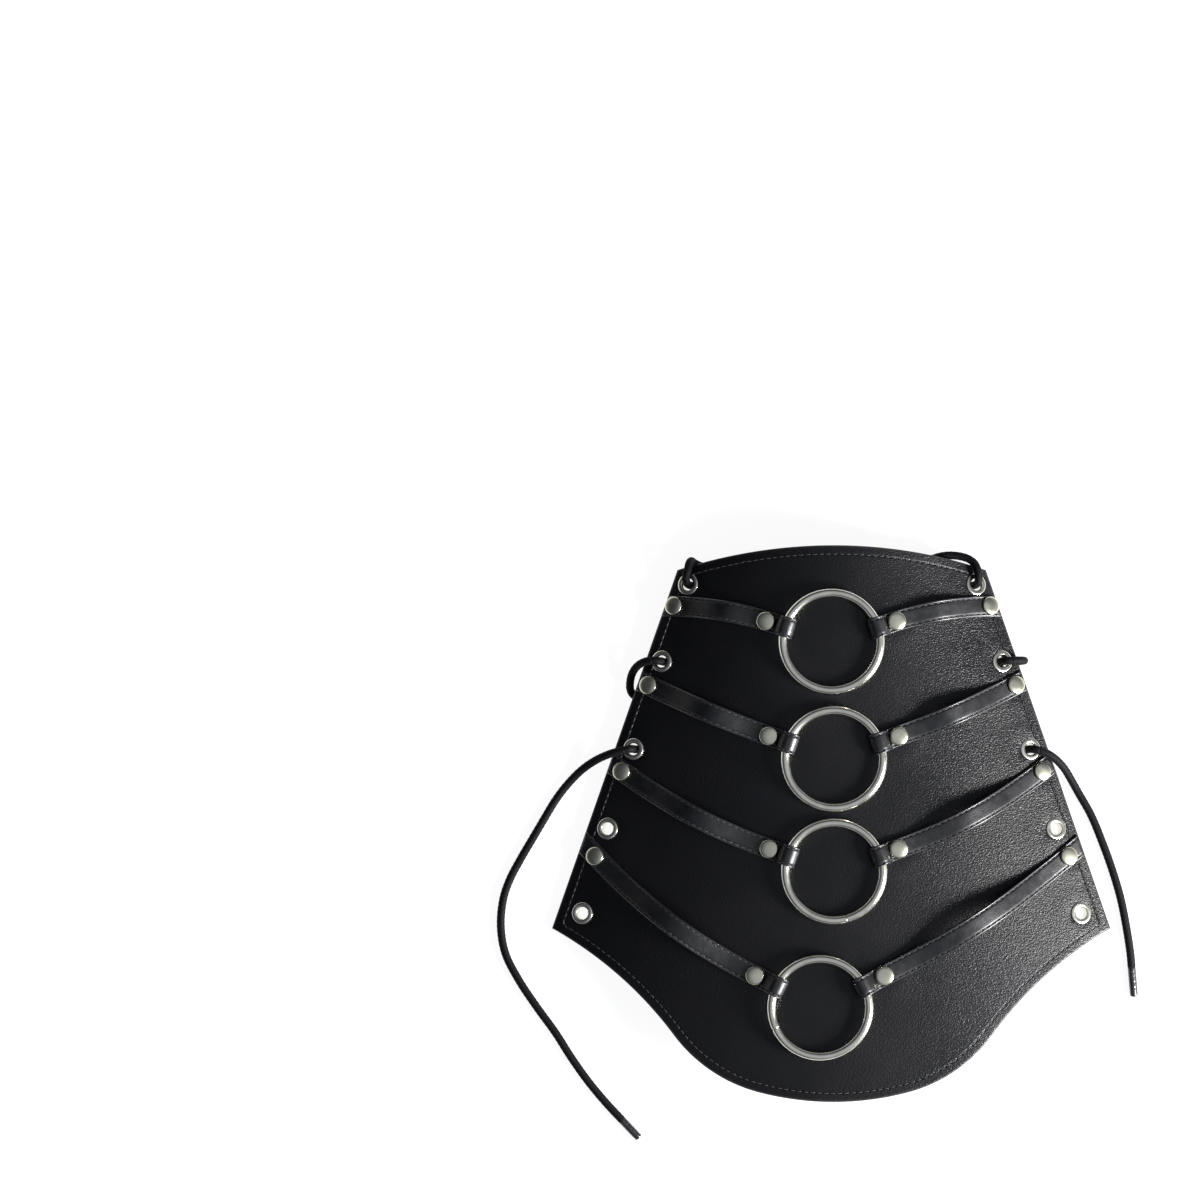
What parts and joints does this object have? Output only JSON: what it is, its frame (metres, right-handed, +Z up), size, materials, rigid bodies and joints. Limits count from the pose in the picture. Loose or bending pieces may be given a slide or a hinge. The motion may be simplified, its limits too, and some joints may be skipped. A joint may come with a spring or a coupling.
{
  "type": "lace-up bracer",
  "caption": "Lace-up forearm bracer of two bonded leather layers, with metal rings held by riveted straps on its ridge and lacing eyelets along both sides.",
  "frame": {"origin": "centre of the bounding box's bottom face, without the free lace ends: on the surface that the bracer lies on", "axes": "+Z up, out of the front of the bracer; +Y along the forearm towards the narrow wrist end; +X to the right as seen from the front"},
  "size_m": [0.2793, 0.2593, 0.0349],
  "materials": {
    "outer_leather": "fine-grain black, low sheen",
    "lining_leather": "pebbled, matte, dark grey-brown",
    "strap_leather": "smooth black, stitched along both edges",
    "nickel": "bright nickel plate, slightly warm",
    "lace": "black, braided",
    "aglet_film": "clear film shrunk over the black lace"
  },
  "bodies": {
    "bracer": {"outer_panel": "outer_leather", "lining_panel": "lining_leather", "strap_1_left": "strap_leather", "strap_2_left": "strap_leather", "strap_3_left": "strap_leather", "strap_4_left": "strap_leather", "strap_1_right": "strap_leather", "strap_2_right": "strap_leather", "strap_3_right": "strap_leather", "strap_4_right": "strap_leather", "rivet_caps_left": "nickel", "rivet_caps_right": "nickel", "rivet_posts_left": "nickel", "rivet_posts_right": "nickel", "eyelets_left": "nickel", "eyelets_right": "nickel", "lace_upper": "lace", "lace_wrap_left": "lace", "lace_wrap_right": "lace", "lace_lower_left": "lace", "lace_lower_right": "lace", "lace_tail_left": "lace", "lace_tail_right": "lace", "aglet_left": "aglet_film", "aglet_right": "aglet_film"},
    "ring_1_body": {"ring_1": "nickel"},
    "ring_2_body": {"ring_2": "nickel"},
    "ring_3_body": {"ring_3": "nickel"},
    "ring_4_body": {"ring_4": "nickel"}
  },
  "joints": [
    {"name": "ring_1_turn", "type": "hinge", "parent": "bracer", "child": "ring_1_body", "pos_m": [-0.001, 0.0786, 0.03019], "axis": [0, 0, 1], "continuous": true},
    {"name": "ring_2_turn", "type": "hinge", "parent": "bracer", "child": "ring_2_body", "pos_m": [0, 0.028, 0.03049], "axis": [0, 0, 1], "continuous": true},
    {"name": "ring_3_turn", "type": "hinge", "parent": "bracer", "child": "ring_3_body", "pos_m": [0, -0.0204, 0.03069], "axis": [0, 0, 1], "continuous": true},
    {"name": "ring_4_turn", "type": "hinge", "parent": "bracer", "child": "ring_4_body", "pos_m": [-0.006, -0.079, 0.03119], "axis": [0, 0, 1], "continuous": true}
  ]
}
